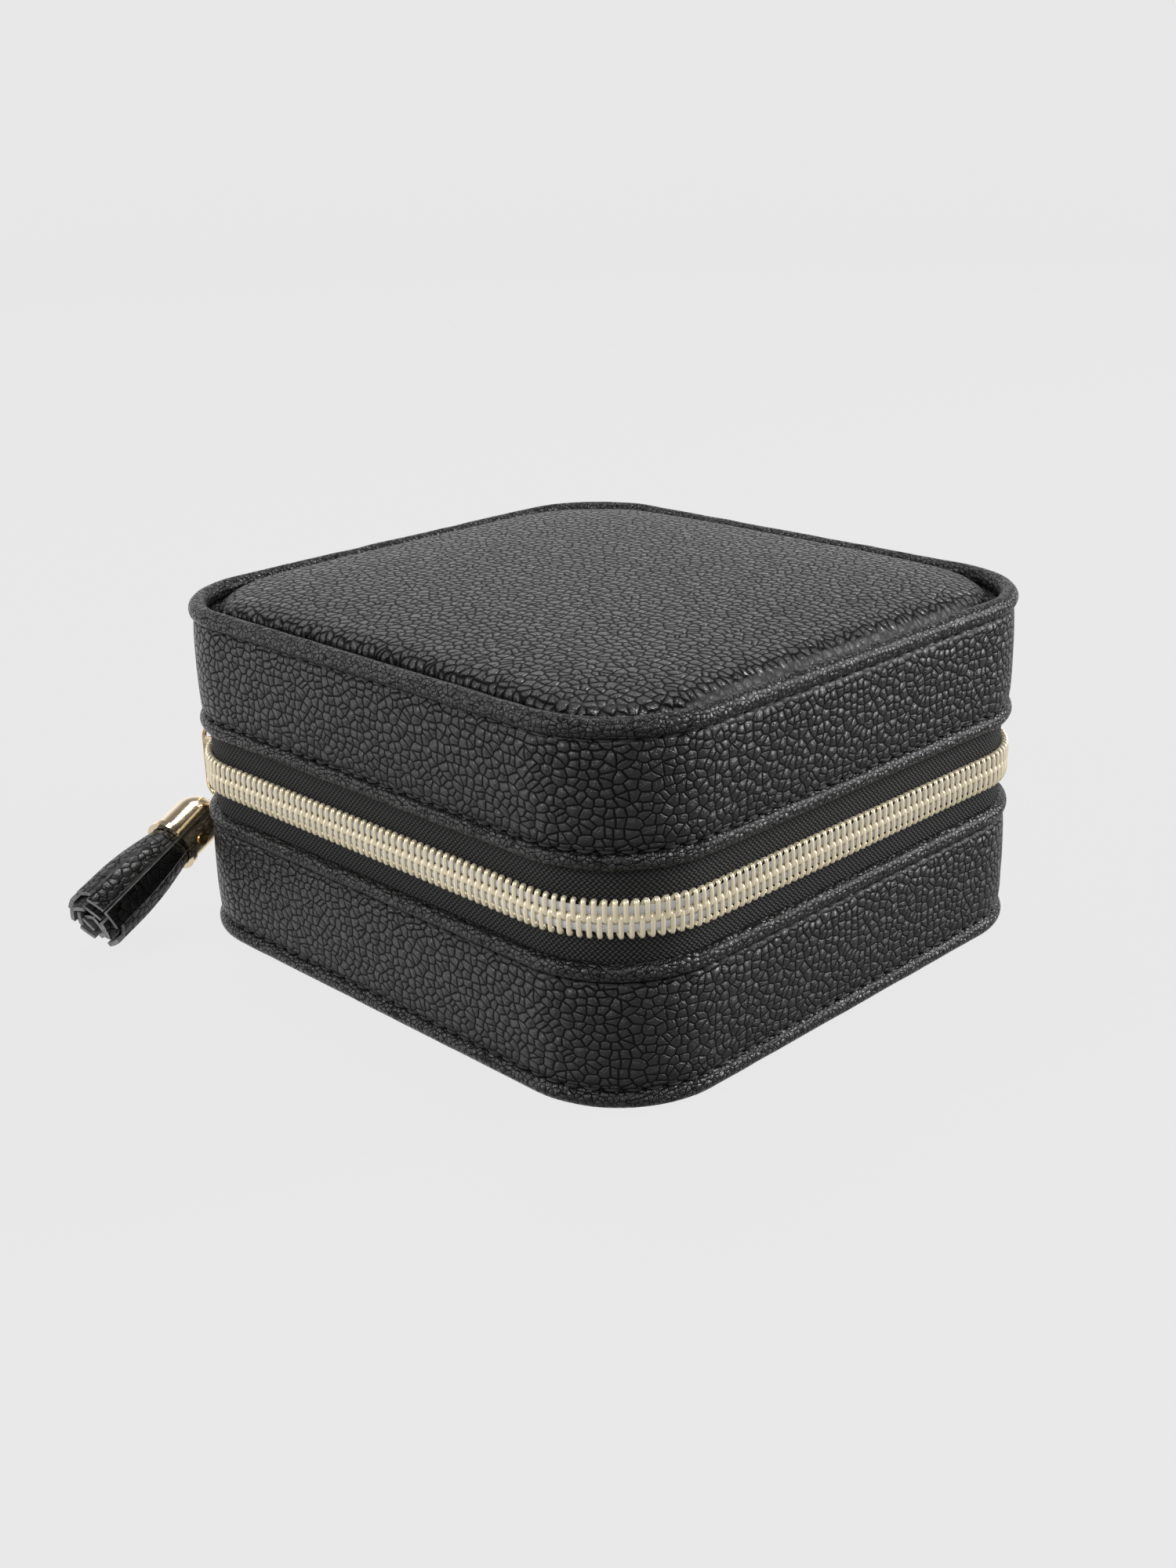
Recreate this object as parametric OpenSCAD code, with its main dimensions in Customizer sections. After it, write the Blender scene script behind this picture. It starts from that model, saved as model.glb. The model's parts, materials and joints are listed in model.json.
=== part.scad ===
// Square zipped leather jewellery case: base, hinged lid, zip slider and tassel pull.
// Frame: +Z up, +Y towards the hinge, origin at the centre of the face it rests on.

/* [Case] */
// Width across the leather, left to right
case_w = 100; // [80:1:140]
// Depth across the leather, front to hinge
case_d = 105; // [80:1:140]
// Outer radius of the four upright corners
corner_r = 17.5; // [14:0.5:24]
// Height of the leather base half
base_h = 22; // [18:0.2:36]
// Height of the leather lid half, rim included
lid_h = 21.2; // [17:0.2:36]
// Height of the zip opening between the two leather edges
zip_gap = 13.2; // [11.6:0.2:18]

/* [Leather and boards] */
// Thickness of the leather
leather_t = 1.0; // [0.8:0.1:1.4]
// Thickness of the stiffening boards
board_t = 2.0; // [1.4:0.1:3]
// Thickness of the velvet lining
lining_t = 0.6; // [0.4:0.1:1]
// Radius of the rolled edge beads
bead_r = 1.4; // [1.1:0.1:1.8]
// Radius of the standing bead round the lid
rim_r = 1.5; // [1.2:0.1:1.9]
// Height of the boards' ends back from the leather's edge
board_back = 0.4; // [0.2:0.1:1]
// Clearance under the bottom bead, so the base cover takes the weight
foot_lift = 0.2; // [0.1:0.1:0.5]

/* [Padded top] */
// Gap between the rim's boards and the padded panel
pad_gap = 0.4; // [0.2:0.1:1]
// Thickness of the foam pad at its middle
foam_t = 3.4; // [2.4:0.2:6]
// How much lower the pad's straight edges are than its middle
pad_crown = 2.0; // [1:0.2:2.2]

/* [Zip] */
// Width of the closed coil chain
chain_w = 6.0; // [5:0.2:7]
// How far the coil stands proud of the leather
coil_proud = 0.3; // [0:0.1:0.8]
// Thickness of the woven tape
tape_t = 0.6; // [0.4:0.1:0.8]
// Depth of tape held under the leather
tape_tuck = 6; // [5:0.5:8]
// Slot between the two coils that the slider's web runs in
coil_slot = 1.0; // [0.8:0.1:1.4]
// Length of tape that passes under the hinge strip
tape_under = 4; // [2:0.5:8]

/* [Hinge strip] */
// Thickness of the leather hinge strip
strip_t = 1.2; // [1:0.1:2]
// Bare straight wall left at each side of the strip
strip_margin = 1.5; // [1:0.5:6]
// Height of the strip's lower end above the resting face
strip_foot = 2.0; // [1:0.5:8]
// Split between the strip's two leaves
leaf_split = 0.4; // [0.2:0.1:0.8]

/* [Slider] */
// Place of the slider on the back left corner, 90 at the hinge side and 180 at the left side
slider_at = 103; // [103:1:110]
// Half of the angle that the slider spans
slider_half = 12.8; // [10:0.2:12.8]
// Running clearance between the slider and the zip
slider_gap = 0.3; // [0.2:0.05:0.5]
// Thickness of the slider's outer plate
plate_t = 1.1; // [0.8:0.1:1.3]
// Thickness of the slider's inner plate
inner_plate_t = 0.8; // [0.6:0.1:1]
// Width of the slider's side flanges
flange_w = 1.15; // [0.8:0.05:1.4]
// Thickness of the slider's web
web_t = 0.5; // [0.4:0.05:0.6]
// Radius of the wire of the bail
bail_r = 0.45; // [0.4:0.05:0.5]

/* [Pull] */
// Radius of the long link's wire
ring_wire_r = 0.45; // [0.35:0.05:0.5]
// Radius of the link's round ends at its wire's centre
ring_r = 2.5; // [2.4:0.1:3]
// Length of the link's straight sides
ring_run = 8.2; // [6:0.2:9]
// Clearance between the link and the slider's plate
ring_gap = 0.2; // [0.15:0.05:0.4]
// Clearance between the link's inner side and the bail's pin
pin_gap = 0.4; // [0.3:0.05:0.5]
// Radius of the tassel cap
cap_r = 4.4; // [4:0.1:4.6]
// Lip of the tassel cap
cap_lip = 0.4; // [0.2:0.1:0.5]
// Height of the cap's lip
lip_h = 1.0; // [0.6:0.1:1.5]
// Wall of the tassel cap
cap_wall = 0.5; // [0.4:0.05:0.7]
// Distance from the link to the cap's lower edge
cap_end = 13.6; // [12.6:0.2:16]
// Distance from the link to the end of the fringe
tassel_len = 34.5; // [30:0.5:46]
// Radius of the fringe at its end
fringe_r = 5.2; // [4.8:0.1:5.6]
// Radius of the grub screw
screw_r = 1.1; // [0.8:0.1:1.4]
// Height of the fringe's end above the resting face
tassel_clear = 0.5; // [0.3:0.1:2]

/* [Inside] */
// Height of the ring rolls' base pad above the floor lining
ring_pad_h = 4.4; // [3:0.2:8]
// Number of ring rolls
roll_count = 5; // [5]
// Radius of a ring roll
roll_r = 4.45; // [4:0.05:5]
// Slit between two ring rolls
roll_slit = 0.3; // [0.2:0.1:1]
// Thickness of the dividers
divider_t = 1.4; // [1:0.1:2]
// Width of the middle compartment
middle_w = 30; // [20:1:40]
// Drop of the dividers below the base's edge
divider_drop = 3; // [2:0.5:8]
// Clearance between loose inner pieces and the lining
inner_gap = 0.2; // [0.1:0.1:0.5]
// Width of the mirror
mirror_w = 66; // [50:1:72]
// Depth of the mirror
mirror_d = 62; // [46:1:72]
// Thickness of the mirror
mirror_t = 1.2; // [0.8:0.1:2]
// Width of the mirror's frame
frame_w = 3; // [2:0.5:5]
// Corner radius of the mirror
mirror_r = 6; // [3:0.5:10]

/* [Hidden] */
$fn = 64;

leather_c = [0.06, 0.06, 0.065];
gold_c = [0.86, 0.76, 0.52];
tape_c = [0.05, 0.05, 0.05];
velvet_c = [0.20, 0.19, 0.20];
board_c = [0.62, 0.58, 0.50];

lid_z = base_h + zip_gap;
rim_top = lid_z + lid_h;
mid_z = base_h + zip_gap / 2;
corner_x = case_w / 2 - corner_r;
corner_y = case_d / 2 - corner_r;

// Depths inwards from the leather's outer face
board_out = leather_t;
rebate = leather_t + tape_t;
board_in = leather_t + board_t;
lining_in = board_in + lining_t;

floor_z = leather_t + board_t;
tray_z = floor_z + lining_t;
roll_z = tray_z + ring_pad_h;
rim_seat = 0.2;
lid_board_top = rim_top - 2 * rim_r + rim_seat;
lid_board_z = lid_board_top - board_t;

strip_w = case_w - 2 * corner_r - 2 * strip_margin;
coil_h = (chain_w - coil_slot) / 2;

slider_out = corner_r + coil_proud + slider_gap;
slider_in = corner_r - rebate - slider_gap;
flange_in = corner_r - leather_t + slider_gap;
flange_z = chain_w / 2 + slider_gap;
plate_half = flange_z + flange_w;
bail_at = slider_out + plate_t + ring_gap + 2 * ring_wire_r + pin_gap + bail_r;
ring_at = slider_out + plate_t + ring_gap + ring_r + ring_wire_r;
ring_drop = 1.0;
bail_half = 3.7;
bail_foot = 1.0;
lid_side_from = 126;
weld = 0.2;
web_span = 7;

neck_len = 2.5;
neck_r = 0.8;
neck_top = 1.6;
cap_dome_at = cap_r + neck_len;
dome_t = 1.0;
eye_r = 1.25;
eye_wire_r = 0.4;
eye_drop = 0.25;
screw_lift = 2.4;
screw_at = cap_end - lip_h - screw_lift;
screw_proud = 0.2;
screw_depth = 1.0;
core_top = cap_dome_at - dome_t;
core_end = cap_end + 1.6;
fringe_swell = 0.1;
pull_z = mid_z - ring_drop - ring_run - ring_r;
tassel_reach = sqrt(tassel_len * tassel_len + fringe_r * fringe_r);
// Lean at which the fringe's end just meets the surface the case stands on
tassel_lean = atan2(fringe_r, tassel_len) + acos(min(1, (pull_z - tassel_clear) / tassel_reach));

roll_pitch = 2 * roll_r + roll_slit;
rolls_y = -case_d / 2 + lining_in + inner_gap + roll_r;
rolls_back = rolls_y + (roll_count - 1) * roll_pitch + roll_r + inner_gap;
roll_sink = 1.2;
divider_y = rolls_back + inner_gap;
divider_top = base_h - divider_drop;

// The bottom bead lies level with the bottom board, clear of the resting face
base_bead_z = max(foot_lift + bead_r, floor_z - bead_r);
base_edge_z = base_h - bead_r;
lid_edge_z = lid_z + bead_r;
tape_low = mid_z - coil_slot / 2;
tape_high = mid_z + coil_slot / 2;

pad_half = case_w / 2 - board_in - pad_gap;
crown_r = (pad_half * pad_half + pad_crown * pad_crown) / (2 * pad_crown);
crown_fn = 1440;
foam_top = lid_board_top + foam_t;
panel_z = lid_board_z - lining_t;
frame_proud = 0.4;
frame_lap = 1;

// Outline of the case at a depth inwards from the leather
module outline(depth) {
    hull_w = case_w - 2 * depth;
    hull_d = case_d - 2 * depth;
    r = corner_r - depth;
    square([hull_w - 2 * r, hull_d], center = true);
    square([hull_w, hull_d - 2 * r], center = true);
    for (x = [-corner_x, corner_x], y = [-corner_y, corner_y]) translate([x, y]) circle(r);
}

module plate(depth, z0, z1) {
    translate([0, 0, z0]) linear_extrude(z1 - z0) outline(depth);
}

module wall(outer, inner, z0, z1) {
    translate([0, 0, z0]) linear_extrude(z1 - z0) difference() {
        outline(outer);
        outline(inner);
    }
}

// One straight run of a profile: x is the distance out from the corner centres, y is height
module run(x, y, facing, length) {
    translate([x, y, 0]) rotate(facing) rotate([90, 0, 0]) linear_extrude(length) children();
}

module corner(x, y, from, to) {
    translate([x, y, 0]) rotate(from) rotate_extrude(angle = to - from) children();
}

module front_and_sides() {
    run(corner_x, corner_y, 0, 2 * corner_y) children();
    corner(corner_x, -corner_y, -90, 0) children();
    run(corner_x, -corner_y, -90, 2 * corner_x) children();
    corner(-corner_x, -corner_y, 180, 270) children();
    run(-corner_x, -corner_y, 180, 2 * corner_y) children();
}

module whole_loop() {
    front_and_sides() children();
    corner(corner_x, corner_y, 0, 90) children();
    corner(-corner_x, corner_y, 90, 180) children();
    run(-corner_x, corner_y, 90, 2 * corner_x) children();
}

// The zip's way round: its right end runs on along the back, its left end starts at an angle
module zip_loop(left_from, stub) {
    front_and_sides() children();
    corner(corner_x, corner_y, 0, 90) children();
    run(corner_x - stub, corner_y, 90, stub) children();
    corner(-corner_x, corner_y, 180, left_from) children();
}

// The left end along the back, the mirror image of the right one
module left_stub(stub) {
    run(-corner_x, corner_y, 90, stub) children();
}

module left_end(to, stub) {
    left_stub(stub) children();
    corner(-corner_x, corner_y, 90, to) children();
}

module bead_profile(z) {
    difference() {
        translate([corner_r - leather_t, z]) circle(bead_r);
        translate([corner_r - leather_t - 2 * bead_r, z - bead_r]) square([2 * bead_r, 2 * bead_r]);
    }
}

module rim_profile() {
    difference() {
        translate([corner_r - leather_t, rim_top - rim_r]) circle(rim_r);
        translate([corner_r - 2 * rim_r - leather_t, lid_board_top - rim_r])
            square([4 * rim_r, rim_r]);
    }
}

module tape_profile(z0, z1) {
    translate([corner_r - rebate, z0]) square([tape_t, z1 - z0]);
}

module coil_profile(z0, z1) {
    translate([corner_r - leather_t, z0]) square([leather_t + coil_proud, z1 - z0]);
}

// ---- base ----
module base_bottom_cover() {
    color(leather_c) plate(board_out, 0, leather_t);
}

module base_bottom_board() {
    color(board_c) plate(board_out, leather_t, floor_z);
}

module base_wall_board() {
    color(board_c) {
        wall(board_out, board_in, floor_z, base_h - tape_tuck);
        wall(rebate, board_in, base_h - tape_tuck, base_h - board_back);
    }
}

module base_leather_band() {
    color(leather_c) wall(0, board_out, base_bead_z + bead_r, base_h - 2 * bead_r);
}

module base_bottom_piping() {
    color(leather_c) whole_loop() bead_profile(base_bead_z);
}

module base_top_piping() {
    color(leather_c) whole_loop() bead_profile(base_edge_z);
}

module strip_leaf(z0, z1) {
    difference() {
        translate([-strip_w / 2, case_d / 2, z0]) cube([strip_w, strip_t, z1 - z0]);
        run(-corner_x, corner_y, 90, 2 * corner_x) {
            bead_profile(base_bead_z);
            bead_profile(base_edge_z);
            bead_profile(lid_edge_z);
            rim_profile();
        }
    }
}

module hinge_strip_lower() {
    color(leather_c) strip_leaf(strip_foot, mid_z - leaf_split / 2);
}

module zip_tape_lower() {
    color(tape_c) {
        zip_loop(90, tape_under) tape_profile(base_h - tape_tuck, tape_low);
        left_stub(tape_under) tape_profile(base_h - tape_tuck, tape_low);
    }
}

module zip_coil_lower() {
    color(gold_c) {
        zip_loop(90, strip_margin) coil_profile(tape_low - coil_h, tape_low);
        left_stub(strip_margin) coil_profile(tape_low - coil_h, tape_low);
    }
}

module base_wall_lining() {
    color(velvet_c) wall(board_in, lining_in, floor_z, base_h);
}

module base_floor_lining() {
    color(velvet_c) plate(lining_in, floor_z, tray_z);
}

module front_tray(z0, z1) {
    intersection() {
        plate(lining_in + inner_gap, z0, z1);
        translate([-case_w / 2, -case_d / 2, z0])
            cube([case_w, case_d / 2 + rolls_back, z1 - z0]);
    }
}

module ring_pad_base() {
    color(velvet_c) front_tray(tray_z, roll_z);
}

module ring_roll(i) {
    color(velvet_c) intersection() {
        front_tray(roll_z, rim_top);
        translate([-case_w / 2, rolls_y + (i - 1) * roll_pitch, roll_z + roll_r - roll_sink])
            rotate([0, 90, 0]) cylinder(h = case_w, r = roll_r);
    }
}

module divider_long() {
    color(velvet_c) intersection() {
        plate(lining_in + inner_gap, tray_z, divider_top);
        translate([-case_w / 2, divider_y, tray_z])
            cube([case_w, divider_t, divider_top - tray_z]);
    }
}

module divider_short(x) {
    back = case_d / 2 - lining_in - inner_gap;
    start = divider_y + divider_t;
    color(velvet_c) translate([x - divider_t / 2, start, tray_z])
        cube([divider_t, back - start, divider_top - tray_z]);
}

module divider_left() {
    divider_short(-(middle_w + divider_t) / 2);
}

module divider_right() {
    divider_short((middle_w + divider_t) / 2);
}

// ---- lid ----
module lid_wall_board() {
    color(board_c) {
        wall(board_out, board_in, lid_z + tape_tuck, lid_board_top);
        wall(rebate, board_in, lid_z + board_back, lid_z + tape_tuck);
    }
}

module lid_top_board() {
    color(board_c) plate(board_in, lid_board_z, lid_board_top);
}

module lid_leather_band() {
    color(leather_c) wall(0, board_out, lid_z + 2 * bead_r, lid_board_top);
}

module lid_top_piping() {
    color(leather_c) whole_loop() rim_profile();
}

module lid_bottom_piping() {
    color(leather_c) whole_loop() bead_profile(lid_edge_z);
}

// Panel with a domed top: its straight edges are pad_crown lower than its middle
module crowned_panel(depth, top) {
    intersection() {
        plate(depth, lid_board_top, top + pad_crown);
        translate([0, 0, top - crown_r]) rotate([90, 0, 0])
            cylinder(h = 2 * case_d, r = crown_r, center = true, $fn = crown_fn);
        translate([0, 0, top - crown_r]) rotate([0, 90, 0])
            cylinder(h = 2 * case_w, r = crown_r, center = true, $fn = crown_fn);
    }
}

module lid_foam_pad() {
    color(board_c) crowned_panel(board_in + pad_gap + leather_t, foam_top);
}

module lid_top_cover() {
    color(leather_c) difference() {
        crowned_panel(board_in + pad_gap, foam_top + leather_t);
        crowned_panel(board_in + pad_gap + leather_t, foam_top);
    }
}

module hinge_strip_upper() {
    color(leather_c) strip_leaf(mid_z + leaf_split / 2, rim_top - rim_r);
}

module zip_tape_upper() {
    color(tape_c) zip_loop(lid_side_from, tape_under) tape_profile(tape_high, lid_z + tape_tuck);
}

module zip_coil_upper() {
    color(gold_c) zip_loop(lid_side_from, strip_margin) coil_profile(tape_high, tape_high + coil_h);
}

module zip_tape_end() {
    color(tape_c) left_end(lid_side_from, tape_under) tape_profile(tape_high, lid_z + tape_tuck);
}

module zip_coil_end() {
    color(gold_c) left_end(lid_side_from, strip_margin) coil_profile(tape_high, tape_high + coil_h);
}

module lid_wall_lining() {
    color(velvet_c) wall(board_in, lining_in, lid_z, lid_board_z);
}

module lid_panel_lining() {
    color(velvet_c) plate(lining_in, panel_z, lid_board_z);
}

module rounded_slab(w, d, r, z0, z1) {
    translate([0, 0, z0]) linear_extrude(z1 - z0) {
        square([w - 2 * r, d], center = true);
        square([w, d - 2 * r], center = true);
        for (x = [-1, 1], y = [-1, 1]) translate([x * (w / 2 - r), y * (d / 2 - r)]) circle(r);
    }
}

module mirror_glass() {
    rounded_slab(mirror_w, mirror_d, mirror_r, panel_z - mirror_t, panel_z);
}

module mirror_node() {
    color([0.8, 0.85, 0.88]) mirror_glass();
}

module mirror_frame() {
    color(leather_c) difference() {
        rounded_slab(mirror_w + 2 * frame_w, mirror_d + 2 * frame_w, mirror_r + frame_w,
            panel_z - mirror_t - frame_proud, panel_z);
        rounded_slab(mirror_w, mirror_d, mirror_r, panel_z - mirror_t, panel_z);
        rounded_slab(mirror_w - 2 * frame_lap, mirror_d - 2 * frame_lap, mirror_r - frame_lap,
            panel_z - mirror_t - 2 * frame_proud, panel_z);
    }
}

// ---- slider and pull ----
module at_slider() {
    translate([-corner_x, corner_y, 0]) rotate(slider_at) children();
}

// Block that follows the corner: radii r0 to r1, angles a0 to a1 from the slider's middle
module arc_block(r0, r1, a0, a1, z0, z1) {
    at_slider() rotate(a0) rotate_extrude(angle = a1 - a0)
        translate([r0, z0]) square([r1 - r0, z1 - z0]);
}

module slider_body() {
    a = slider_half;
    color(gold_c) {
        arc_block(slider_out, slider_out + plate_t, -a, a, mid_z - plate_half, mid_z + plate_half);
        arc_block(slider_in - inner_plate_t, slider_in, -a, a, mid_z - plate_half, mid_z + plate_half);
        arc_block(slider_in - weld, slider_out + weld, a - web_span, a,
            mid_z - web_t / 2, mid_z + web_t / 2);
        arc_block(flange_in, slider_out, -a, a, mid_z + flange_z, mid_z + plate_half);
        arc_block(flange_in, slider_out, -a, a, mid_z - plate_half, mid_z - flange_z);
    }
}

// A straight pin that the ring turns on, held by two feet on the plate
module slider_bail() {
    color(gold_c) {
        at_slider() translate([bail_at, bail_half, mid_z]) rotate([90, 0, 0])
            cylinder(h = 2 * bail_half, r = bail_r);
        difference() {
            at_slider() for (side = [-1, 1])
                translate([corner_r, side * (bail_half - bail_foot / 2) - bail_foot / 2, mid_z - bail_r])
                    cube([bail_at - corner_r, bail_foot, 2 * bail_r]);
            at_slider() translate([0, 0, mid_z - bail_foot]) cylinder(h = 2 * bail_foot, r = slider_out + plate_t);
        }
    }
}

// Half turn of the link's wire, bulging up
module link_end() {
    rotate([90, 0, 0]) rotate_extrude(angle = 180) translate([ring_r, 0]) circle(ring_wire_r);
}

// A long link that hangs round the pin, its two sides upright
module pull_ring() {
    color(gold_c) at_slider() translate([ring_at, 0, mid_z - ring_drop]) {
        link_end();
        translate([0, 0, -ring_run]) rotate([0, 180, 0]) link_end();
        for (side = [-1, 1]) translate([side * ring_r, 0, -ring_run])
            cylinder(h = ring_run, r = ring_wire_r);
    }
}

// The tassel hangs along -Z from the link's lowest point, then leans sideways
module at_tassel() {
    at_slider() translate([ring_at, 0, pull_z]) rotate([tassel_lean, 0, 0]) children();
}

module screw_bar() {
    translate([0, 0, -screw_at]) rotate([0, -90, 0]) cylinder(h = cap_r + screw_proud, r = screw_r);
}

module tassel_cap() {
    color(gold_c) at_tassel() {
        translate([0, 0, -eye_drop]) rotate([0, 90, 0]) rotate_extrude() translate([eye_r, 0])
            circle(eye_wire_r);
        difference() {
            union() {
                translate([0, 0, -cap_dome_at]) intersection() {
                    sphere(cap_r);
                    cylinder(h = cap_r, r = 2 * cap_r);
                }
                translate([0, 0, -cap_dome_at]) cylinder(h = cap_dome_at - neck_top, r = neck_r);
                translate([0, 0, -cap_end]) cylinder(h = cap_end - cap_dome_at, r = cap_r);
                translate([0, 0, -cap_end]) cylinder(h = lip_h, r = cap_r + cap_lip);
            }
            translate([0, 0, -cap_end - lip_h]) cylinder(h = cap_end + lip_h - core_top, r = cap_r - cap_wall);
            screw_bar();
        }
    }
}

// The screw's outer end, which reaches screw_depth into the core
module screw_tip() {
    difference() {
        screw_bar();
        translate([cap_wall, 0, -screw_at]) rotate([0, -90, 0])
            cylinder(h = cap_r - screw_depth, r = 2 * screw_r);
    }
}

module tassel_cap_screw() {
    color([0.72, 0.55, 0.28]) at_tassel() screw_tip();
}

module tassel_core() {
    color(leather_c) at_tassel() difference() {
        translate([0, 0, -core_end]) cylinder(h = core_end - core_top, r = cap_r - cap_wall);
        screw_tip();
    }
}

module tassel_fringe() {
    color(leather_c) at_tassel() difference() {
        translate([0, 0, -tassel_len])
            cylinder(h = tassel_len - cap_end, r1 = fringe_r, r2 = cap_r + fringe_swell);
        translate([0, 0, -core_end]) cylinder(h = core_end, r = cap_r - cap_wall);
    }
}

base_bottom_cover();
base_bottom_board();
base_wall_board();
base_leather_band();
base_bottom_piping();
base_top_piping();
hinge_strip_lower();
zip_tape_lower();
zip_coil_lower();
base_wall_lining();
base_floor_lining();
ring_pad_base();
ring_roll(1);  // ring_roll_1
ring_roll(2);  // ring_roll_2
ring_roll(3);  // ring_roll_3
ring_roll(4);  // ring_roll_4
ring_roll(5);  // ring_roll_5
divider_long();
divider_left();
divider_right();
lid_wall_board();
lid_top_board();
lid_leather_band();
lid_top_piping();
lid_bottom_piping();
lid_foam_pad();
lid_top_cover();
hinge_strip_upper();
zip_tape_upper();
zip_coil_upper();
zip_tape_end();
zip_coil_end();
lid_wall_lining();
lid_panel_lining();
mirror_node();  // mirror
mirror_frame();
slider_body();
slider_bail();
pull_ring();
tassel_cap();
tassel_cap_screw();
tassel_core();
tassel_fringe();
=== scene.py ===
import json
import math
import random

import bmesh
import bpy
import numpy as np
from mathutils import Matrix, Vector, noise


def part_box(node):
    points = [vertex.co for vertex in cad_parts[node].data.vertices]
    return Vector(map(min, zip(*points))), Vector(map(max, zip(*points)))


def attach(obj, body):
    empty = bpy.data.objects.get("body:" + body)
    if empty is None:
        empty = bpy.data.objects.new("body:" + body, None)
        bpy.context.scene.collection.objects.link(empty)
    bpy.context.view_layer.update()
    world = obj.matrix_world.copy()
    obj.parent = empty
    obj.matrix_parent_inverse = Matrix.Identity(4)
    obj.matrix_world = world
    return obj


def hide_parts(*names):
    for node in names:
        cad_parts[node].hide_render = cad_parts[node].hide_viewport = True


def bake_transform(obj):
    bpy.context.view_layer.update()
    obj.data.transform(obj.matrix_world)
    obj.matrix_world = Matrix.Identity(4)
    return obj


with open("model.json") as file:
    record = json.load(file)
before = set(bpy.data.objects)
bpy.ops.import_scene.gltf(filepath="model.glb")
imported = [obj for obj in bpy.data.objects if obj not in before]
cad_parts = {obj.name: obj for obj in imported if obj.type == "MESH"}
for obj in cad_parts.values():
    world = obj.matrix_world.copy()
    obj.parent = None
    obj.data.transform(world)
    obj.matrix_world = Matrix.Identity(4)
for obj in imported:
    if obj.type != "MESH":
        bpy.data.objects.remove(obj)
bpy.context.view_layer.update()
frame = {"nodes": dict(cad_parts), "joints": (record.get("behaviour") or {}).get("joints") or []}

# Leather jewellery case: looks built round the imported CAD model. Lengths are in millimetres until
# make_piece() turns them into metres. Places and sizes of lamps are in metres.

MM = 0.001
UP = np.array((0.0, 0.0, 1.0))
TINY = 1e-9
SHARP = 40  # edges sharper than this many degrees stay sharp
OUTLINE_STEP = 1.2  # spacing of the points round the case

# ---------------------------------------------------------------- measures read from the frame


def box_mm(node):
    low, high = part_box(node)
    return low / MM, high / MM


def joint_point(name):
    """Position and axis of a joint, in millimetres."""
    joint = JOINTS[name]
    return np.array(joint["pos_m"]) / MM, np.array(joint["axis"], float)


JOINTS = {joint["name"]: joint for joint in frame["joints"]}
HALF_W, HALF_D = box_mm("base_leather_band")[1][:2]
TURN = joint_point("slider_travel")[0]
CORNER_R = HALF_W - abs(TURN[0])
MID_Z = TURN[2]
FLAT_X = HALF_W - CORNER_R
FLAT_Y = HALF_D - CORNER_R
STRIP_HALF = box_mm("hinge_strip_lower")[1].x
TAPE_DEPTH = HALF_W - box_mm("zip_tape_lower")[1].x
SLIDER = joint_point("ring_swing")[0] - TURN
SLIDER_ANGLE = math.atan2(SLIDER[1], SLIDER[0])

# ---------------------------------------------------------------- the case's outline


def make_legs():
    """Straights and corners of the leather face, from the middle of the back round to the left."""
    legs = []
    point = np.array((0.0, HALF_D))
    heading = math.pi
    straights = (FLAT_X, 2 * FLAT_Y, 2 * FLAT_X, 2 * FLAT_Y, FLAT_X)
    for number, straight in enumerate(straights, 1):
        along = np.array((math.cos(heading), math.sin(heading)))
        legs.append((straight, point, heading, 0.0))
        point = point + straight * along
        if number < len(straights):
            centre = point - CORNER_R * np.array((along[1], -along[0]))
            legs.append((CORNER_R * math.pi / 2, centre, heading, 1 / CORNER_R))
            heading += math.pi / 2
            point = centre + CORNER_R * along
    return legs


LEGS = make_legs()
ROUND = sum(leg[0] for leg in LEGS)
SLIDER_S = FLAT_X + CORNER_R * (SLIDER_ANGLE - math.pi / 2)


def track(s):
    """Points and outward normals s millimetres round the leather face."""
    s = np.atleast_1d(np.asarray(s, float)) % ROUND
    place = np.zeros((len(s), 2))
    normal = np.zeros((len(s), 2))
    begin = 0.0
    for length, anchor, heading, bend in LEGS:
        on = (s >= begin) & (s <= begin + length + TINY)
        run = s[on] - begin
        angle = heading - math.pi / 2 + run * bend
        normal[on] = np.stack((np.cos(angle), np.sin(angle)), 1)
        along = np.array((math.cos(heading), math.sin(heading)))
        place[on] = anchor + (CORNER_R * normal[on] if bend else run[:, None] * along)
        begin += length
    return place, normal


# ---------------------------------------------------------------- mesh helpers


class Heap:
    """Vertices and faces gathered for one mesh, with a texture coordinate per corner."""

    def __init__(self):
        self.verts = []
        self.faces = []
        self.uvs = []
        self.slots = []
        self.count = 0

    def add(self, verts, faces, uvs=None, slot=0):
        self.verts.append(np.asarray(verts, float))
        self.faces.extend([tuple(self.count + i for i in face) for face in faces])
        self.uvs.extend(uvs if uvs is not None else [[(0.0, 0.0)] * len(f) for f in faces])
        self.slots.extend([slot] * len(faces))
        self.count += len(verts)

    def piece(self, name, materials, body=None, slot=None, sharp=SHARP):
        return make_piece(name, np.concatenate(self.verts), self.faces, materials, self.uvs,
                          self.slots, body, sharp)


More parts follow.
